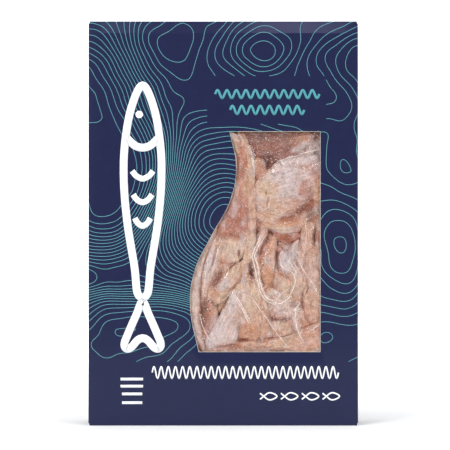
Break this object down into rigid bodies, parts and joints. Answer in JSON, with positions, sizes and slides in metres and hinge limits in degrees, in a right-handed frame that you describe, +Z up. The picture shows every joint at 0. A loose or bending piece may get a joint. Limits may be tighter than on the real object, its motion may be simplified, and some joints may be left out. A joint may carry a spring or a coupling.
{
  "type": "pack of salted pollock pieces",
  "caption": "Upright folding carton with a die-cut window that shows salted, dried white fish pieces in a clear vacuum bag.",
  "frame": {"origin": "middle of the base, on the surface that the pack stands on", "axes": "+Z up, +X to the right as seen from the front, the printed front with the window faces -Y"},
  "size_m": [0.16, 0.028, 0.24],
  "materials": {
    "coated_boxboard": "satin varnish over offset print",
    "fish_under_film": "salted dried fish under clear glossy film"
  },
  "bodies": {
    "root": {"carton": "coated_boxboard", "vacuum_bag": "fish_under_film"}
  },
  "joints": []
}
